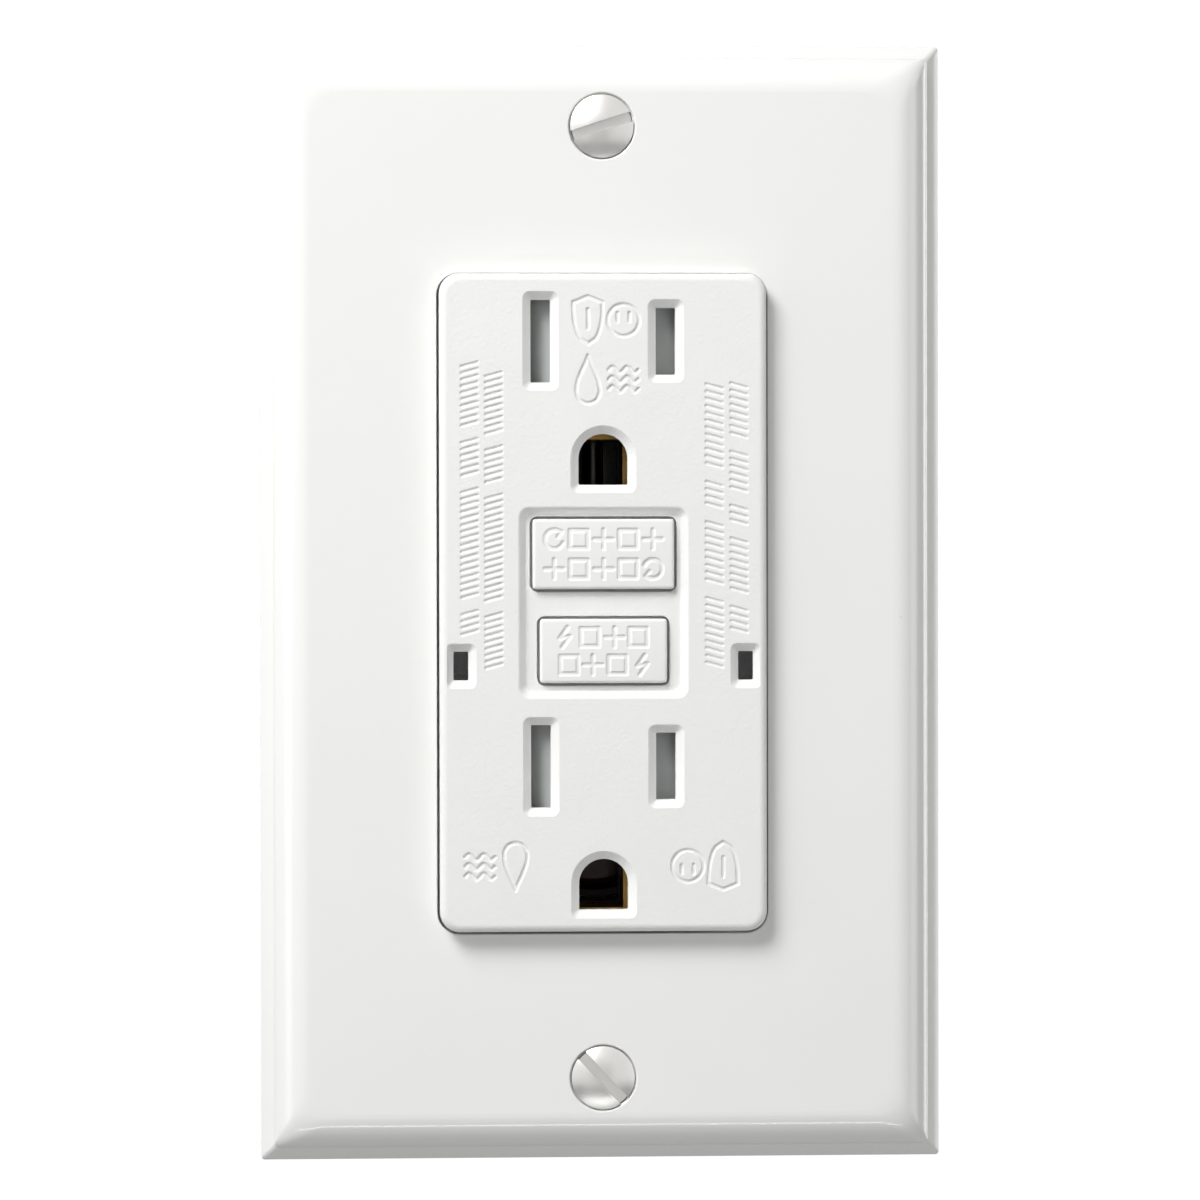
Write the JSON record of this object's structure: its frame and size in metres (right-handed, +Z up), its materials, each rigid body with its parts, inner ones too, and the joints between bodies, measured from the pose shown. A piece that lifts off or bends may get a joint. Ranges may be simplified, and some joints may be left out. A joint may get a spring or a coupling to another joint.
{
  "type": "ground-fault receptacle with wall plate",
  "caption": "One-gang wall outlet with a decorator plate, two grounded sockets with shutters, test and reset buttons, indicator windows and a trip mechanism in a rear case.",
  "frame": {"origin": "centre of the two box-mounting screws, in the plane where the plate's rim meets the wall", "axes": "+X to the right and +Y into the wall for someone facing the outlet, +Z up"},
  "size_m": [0.0698, 0.0399, 0.1142],
  "materials": {
    "plate_plastic": "glossy white thermoplastic",
    "face_plastic": "finely stippled white thermoplastic",
    "button_plastic": "satin white thermoplastic",
    "case_plastic": "moulded white thermoset",
    "shutter_plastic": "grey acetal",
    "frame_plastic": "black phenolic",
    "lifter_plastic": "ivory nylon",
    "clear_plastic": "clear polycarbonate",
    "screw_nickel": "bright nickel plate",
    "zinc_steel": "zinc-plated steel",
    "spring_steel": "drawn spring wire",
    "brass": "stamped brass",
    "terminal_brass": "brass screw",
    "silver_screw": "nickel-plated screw",
    "ground_green": "green-dyed steel screw",
    "contact_silver": "silver alloy",
    "fibre": "vulcanised fibre",
    "copper_winding": "enamelled copper wire",
    "ferrite": "coated ferrite",
    "iron": "soft iron",
    "board": "green solder mask on glass-epoxy",
    "varistor_blue": "epoxy coating",
    "capacitor_black": "heat-shrink sleeve",
    "film_red": "epoxy dip",
    "chip_black": "moulded epoxy",
    "resistor_tan": "lacquered",
    "led_lens": "diffused epoxy"
  },
  "bodies": {
    "body": {"wall_plate": "plate_plastic", "plate_screws": "screw_nickel", "front_cover": "face_plastic", "light_pipes": "clear_plastic", "shutter_trays": "shutter_plastic", "mounting_strap": "zinc_steel", "box_screws": "zinc_steel", "screw_retainers": "fibre", "ground_contacts": "brass", "ground_rivets": "brass", "contact_frame": "frame_plastic", "fixed_contacts": "contact_silver", "hot_receptacle_contact": "brass", "neutral_receptacle_contact": "brass", "line_terminals": "brass", "load_terminals": "brass", "test_post": "contact_silver", "reset_spring": "spring_steel", "upper_shutter_spring": "spring_steel", "lower_shutter_spring": "spring_steel", "solenoid_bobbin": "lifter_plastic", "solenoid_coil": "copper_winding", "solenoid_frame": "zinc_steel", "plunger_spring": "spring_steel", "transformer_housing": "frame_plastic", "toroids": "ferrite", "circuit_board": "board", "varistor": "varistor_blue", "storage_capacitor": "capacitor_black", "film_capacitor": "film_red", "control_chip": "chip_black", "resistors": "resistor_tan", "trip_thyristor": "chip_black", "indicator_leds": "led_lens", "rear_case": "case_plastic", "case_screws": "zinc_steel"},
    "reset": {"reset_button": "button_plastic", "reset_pin": "zinc_steel"},
    "test": {"test_button": "button_plastic"},
    "leaf": {"test_leaf": "brass"},
    "lifter": {"lifter": "lifter_plastic"},
    "latch": {"latch_plate": "zinc_steel"},
    "plunger": {"plunger": "iron"},
    "ground_screw": {"ground_screw": "ground_green"},
    "hot_arm": {"hot_contact_arm": "brass", "hot_arm_contact": "contact_silver"},
    "upper_hot_shutter": {"upper_hot_shutter": "shutter_plastic"},
    "lower_hot_shutter": {"lower_hot_shutter": "shutter_plastic"},
    "line_hot_screw": {"line_hot_screw": "terminal_brass"},
    "line_hot_clamp": {"line_hot_clamp": "zinc_steel"},
    "load_hot_screw": {"load_hot_screw": "terminal_brass"},
    "load_hot_clamp": {"load_hot_clamp": "zinc_steel"},
    "neutral_arm": {"neutral_contact_arm": "brass", "neutral_arm_contact": "contact_silver"},
    "upper_neutral_shutter": {"upper_neutral_shutter": "shutter_plastic"},
    "lower_neutral_shutter": {"lower_neutral_shutter": "shutter_plastic"},
    "line_neutral_screw": {"line_neutral_screw": "silver_screw"},
    "line_neutral_clamp": {"line_neutral_clamp": "zinc_steel"},
    "load_neutral_screw": {"load_neutral_screw": "silver_screw"},
    "load_neutral_clamp": {"load_neutral_clamp": "zinc_steel"}
  },
  "joints": [
    {"name": "reset_press", "type": "slide", "parent": "body", "child": "reset", "axis": [0, 1, 0], "range_m": [0, 0.0022], "stiffness_N_per_m": 300, "springref_m": -0.004, "deforming": ["reset_spring"]},
    {"name": "test_press", "type": "slide", "parent": "body", "child": "test", "axis": [0, 1, 0], "range_m": [0, 0.0016], "stiffness_N_per_m": 400, "springref_m": -0.0015},
    {"name": "leaf_bend", "type": "hinge", "parent": "body", "child": "leaf", "pos_m": [0, 0.00353, -0.013], "axis": [-1, 0, 0], "range_deg": [0, 12]},
    {"name": "contacts_open", "type": "slide", "parent": "body", "child": "lifter", "axis": [0, 1, 0], "range_m": [0, 0.0015], "stiffness_N_per_m": 200, "springref_m": -0.002},
    {"name": "plunger_pull", "type": "slide", "parent": "body", "child": "plunger", "axis": [0, 0, -1], "range_m": [0, 0.0012], "stiffness_N_per_m": 80, "springref_m": -0.003, "deforming": ["plunger_spring"]},
    {"name": "latch_slide", "type": "slide", "parent": "lifter", "child": "latch", "axis": [0, 0, -1], "range_m": [0, 0.0012]},
    {"name": "ground_screw_out", "type": "slide", "parent": "body", "child": "ground_screw", "axis": [-1, 0, 0], "range_m": [0, 0.0024]},
    {"name": "hot_arm_bend", "type": "hinge", "parent": "body", "child": "hot_arm", "pos_m": [0.0104, 0.0136, -0.0142], "axis": [-1, 0, 0], "range_deg": [0, 4.3]},
    {"name": "line_hot_turn", "type": "hinge", "parent": "body", "child": "line_hot_screw", "pos_m": [0.0176, 0.0122, -0.022], "axis": [-1, 0, 0], "range_deg": [0, 772]},
    {"name": "line_hot_grip", "type": "slide", "parent": "body", "child": "line_hot_clamp", "axis": [1, 0, 0], "range_m": [0, 0.0017]},
    {"name": "load_hot_turn", "type": "hinge", "parent": "body", "child": "load_hot_screw", "pos_m": [0.0176, 0.0122, 0.022], "axis": [-1, 0, 0], "range_deg": [0, 772]},
    {"name": "load_hot_grip", "type": "slide", "parent": "body", "child": "load_hot_clamp", "axis": [1, 0, 0], "range_m": [0, 0.0017]},
    {"name": "neutral_arm_bend", "type": "hinge", "parent": "body", "child": "neutral_arm", "pos_m": [-0.0104, 0.0136, -0.0142], "axis": [-1, 0, 0], "range_deg": [0, 4.3]},
    {"name": "line_neutral_turn", "type": "hinge", "parent": "body", "child": "line_neutral_screw", "pos_m": [-0.0176, 0.0122, -0.022], "axis": [1, 0, 0], "range_deg": [0, 772]},
    {"name": "line_neutral_grip", "type": "slide", "parent": "body", "child": "line_neutral_clamp", "axis": [-1, 0, 0], "range_m": [0, 0.0017]},
    {"name": "load_neutral_turn", "type": "hinge", "parent": "body", "child": "load_neutral_screw", "pos_m": [-0.0176, 0.0122, 0.022], "axis": [1, 0, 0], "range_deg": [0, 772]},
    {"name": "load_neutral_grip", "type": "slide", "parent": "body", "child": "load_neutral_clamp", "axis": [-1, 0, 0], "range_m": [0, 0.0017]},
    {"name": "upper_hot_shutter_open", "type": "slide", "parent": "body", "child": "upper_hot_shutter", "axis": [-1, 0, 0], "range_m": [0, 0.0028], "stiffness_N_per_m": 60, "springref_m": -0.003, "deforming": ["upper_shutter_spring"]},
    {"name": "upper_neutral_shutter_open", "type": "slide", "parent": "body", "child": "upper_neutral_shutter", "axis": [1, 0, 0], "range_m": [0, 0.0028]},
    {"name": "lower_hot_shutter_open", "type": "slide", "parent": "body", "child": "lower_hot_shutter", "axis": [-1, 0, 0], "range_m": [0, 0.0028], "stiffness_N_per_m": 60, "springref_m": -0.003, "deforming": ["lower_shutter_spring"]},
    {"name": "lower_neutral_shutter_open", "type": "slide", "parent": "body", "child": "lower_neutral_shutter", "axis": [1, 0, 0], "range_m": [0, 0.0028]}
  ],
  "couplings": [
    {"joint": "leaf_bend", "follows": "test_press", "rad_per_m": 125},
    {"joint": "latch_slide", "follows": "plunger_pull", "ratio": 1},
    {"joint": "hot_arm_bend", "follows": "contacts_open", "rad_per_m": 48.5},
    {"joint": "line_hot_turn", "follows": "line_hot_grip", "rad_per_m": 7915.8},
    {"joint": "load_hot_turn", "follows": "load_hot_grip", "rad_per_m": 7915.8},
    {"joint": "neutral_arm_bend", "follows": "contacts_open", "rad_per_m": 48.5},
    {"joint": "line_neutral_turn", "follows": "line_neutral_grip", "rad_per_m": 7915.8},
    {"joint": "load_neutral_turn", "follows": "load_neutral_grip", "rad_per_m": 7915.8},
    {"joint": "upper_neutral_shutter_open", "follows": "upper_hot_shutter_open", "ratio": 1},
    {"joint": "lower_neutral_shutter_open", "follows": "lower_hot_shutter_open", "ratio": 1}
  ]
}
